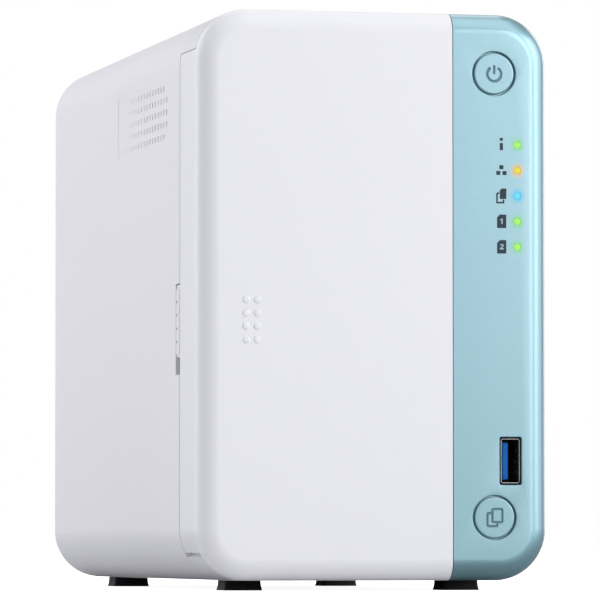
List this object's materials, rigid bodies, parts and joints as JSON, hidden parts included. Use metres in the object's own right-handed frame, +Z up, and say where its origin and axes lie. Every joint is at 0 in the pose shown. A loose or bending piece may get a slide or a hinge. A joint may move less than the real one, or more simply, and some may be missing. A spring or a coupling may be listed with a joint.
{
  "type": "network attached storage",
  "caption": "Upright desktop network storage box: white sliding front cover, teal control strip with buttons, status lights and USB socket, drive trays behind, rear fan and ports",
  "frame": {"origin": "on the ground, under the middle of the case", "axes": "+Z up, +X to the right of someone facing the front, front cover towards -Y"},
  "size_m": [0.105, 0.2263, 0.169],
  "materials": {
    "white_gloss": "gloss white",
    "white_case": "satin white",
    "zinc_steel": "zinc plated sheet",
    "foot_rubber": "matt black",
    "grey_plastic": "satin grey",
    "teal_metallic": "pearl paint",
    "dark_print": "print",
    "green_light": "lit",
    "amber_light": "lit",
    "blue_light": "lit",
    "plated_steel": "nickel plated",
    "blue_plastic": "moulded",
    "board_green": "solder mask",
    "clear_plastic": "clear",
    "black_plastic": "moulded",
    "grey_panel": "painted sheet",
    "cast_aluminium": "cast",
    "bare_aluminium": "satin"
  },
  "bodies": {
    "chassis": {"case_cover": "white_case", "bottom_panel": "zinc_steel", "foot_front_left": "foot_rubber", "foot_front_right": "foot_rubber", "foot_rear_left": "foot_rubber", "foot_rear_right": "foot_rubber", "front_bezel": "grey_plastic", "control_panel": "teal_metallic", "panel_marks": "dark_print", "light_pipe_status": "green_light", "light_pipe_lan": "amber_light", "light_pipe_copy": "blue_light", "light_pipe_drive_1": "green_light", "light_pipe_drive_2": "green_light", "usb_front_shell": "plated_steel", "usb_front_tongue": "blue_plastic", "front_board": "board_green", "board_lights": "clear_plastic", "tact_switches": "black_plastic", "drive_cage": "zinc_steel", "tray_guides": "black_plastic", "backplane": "board_green", "drive_sockets": "black_plastic", "mainboard": "board_green", "board_screws": "plated_steel", "heatsink": "bare_aluminium", "memory_socket": "black_plastic", "memory_module": "board_green", "coin_cell": "plated_steel", "cell_holder": "black_plastic", "usb_rear_shells": "plated_steel", "usb_rear_tongues": "blue_plastic", "hdmi_port": "plated_steel", "lan_jack": "plated_steel", "dc_jack": "black_plastic", "rear_panel": "grey_panel", "case_screws": "plated_steel", "fan_frame": "black_plastic", "fan_screws": "plated_steel"},
    "front_cover": {"front_cover": "white_gloss"},
    "cover_lock": {"cover_lock": "white_case"},
    "power_button": {"power_button": "teal_metallic"},
    "copy_button": {"copy_button": "teal_metallic"},
    "reset_button": {"reset_button": "black_plastic"},
    "fan_rotor": {"fan_rotor": "black_plastic"},
    "tray_1": {"tray_frame_1": "black_plastic", "drive_screws_1": "plated_steel", "lever_pin_1": "plated_steel", "drive_body_1": "cast_aluminium", "drive_lid_1": "bare_aluminium", "drive_board_1": "board_green"},
    "lever_1": {"lever_1": "grey_plastic"},
    "tray_2": {"tray_frame_2": "black_plastic", "drive_screws_2": "plated_steel", "lever_pin_2": "plated_steel", "drive_body_2": "cast_aluminium", "drive_lid_2": "bare_aluminium", "drive_board_2": "board_green"},
    "lever_2": {"lever_2": "grey_plastic"}
  },
  "joints": [
    {"name": "tray_1_slide", "type": "slide", "parent": "chassis", "child": "tray_1", "axis": [0, -1, 0], "range_m": [0, 0.15]},
    {"name": "tray_2_slide", "type": "slide", "parent": "chassis", "child": "tray_2", "axis": [0, -1, 0], "range_m": [0, 0.15]},
    {"name": "cover_slide", "type": "slide", "parent": "tray_1", "child": "front_cover", "axis": [-1, 0, 0], "range_m": [0, 0.085]},
    {"name": "lever_1_swing", "type": "hinge", "parent": "tray_1", "child": "lever_1", "pos_m": [-0.0322, -0.091, 0.1185], "axis": [-1, 0, 0], "range_deg": [0, 12]},
    {"name": "lever_2_swing", "type": "hinge", "parent": "tray_2", "child": "lever_2", "pos_m": [0.002, -0.091, 0.1185], "axis": [-1, 0, 0], "range_deg": [0, 12]},
    {"name": "lock_slide", "type": "slide", "parent": "chassis", "child": "cover_lock", "axis": [0, 0, -1], "range_m": [0, 0.005]},
    {"name": "power_press", "type": "slide", "parent": "chassis", "child": "power_button", "axis": [0, 1, 0], "range_m": [0, 0.0012], "stiffness_N_per_m": 900, "springref_m": -0.0004},
    {"name": "copy_press", "type": "slide", "parent": "chassis", "child": "copy_button", "axis": [0, 1, 0], "range_m": [0, 0.0012], "stiffness_N_per_m": 900, "springref_m": -0.0004},
    {"name": "reset_press", "type": "slide", "parent": "chassis", "child": "reset_button", "axis": [0, -1, 0], "range_m": [0, 0.0003], "stiffness_N_per_m": 900, "springref_m": -0.0004},
    {"name": "fan_spin", "type": "hinge", "parent": "chassis", "child": "fan_rotor", "pos_m": [-0.014, 0.1, 0.1105], "axis": [0, 1, 0], "continuous": true}
  ],
  "couplings": [
    {"joint": "tray_2_slide", "follows": "tray_1_slide", "ratio": 1}
  ]
}
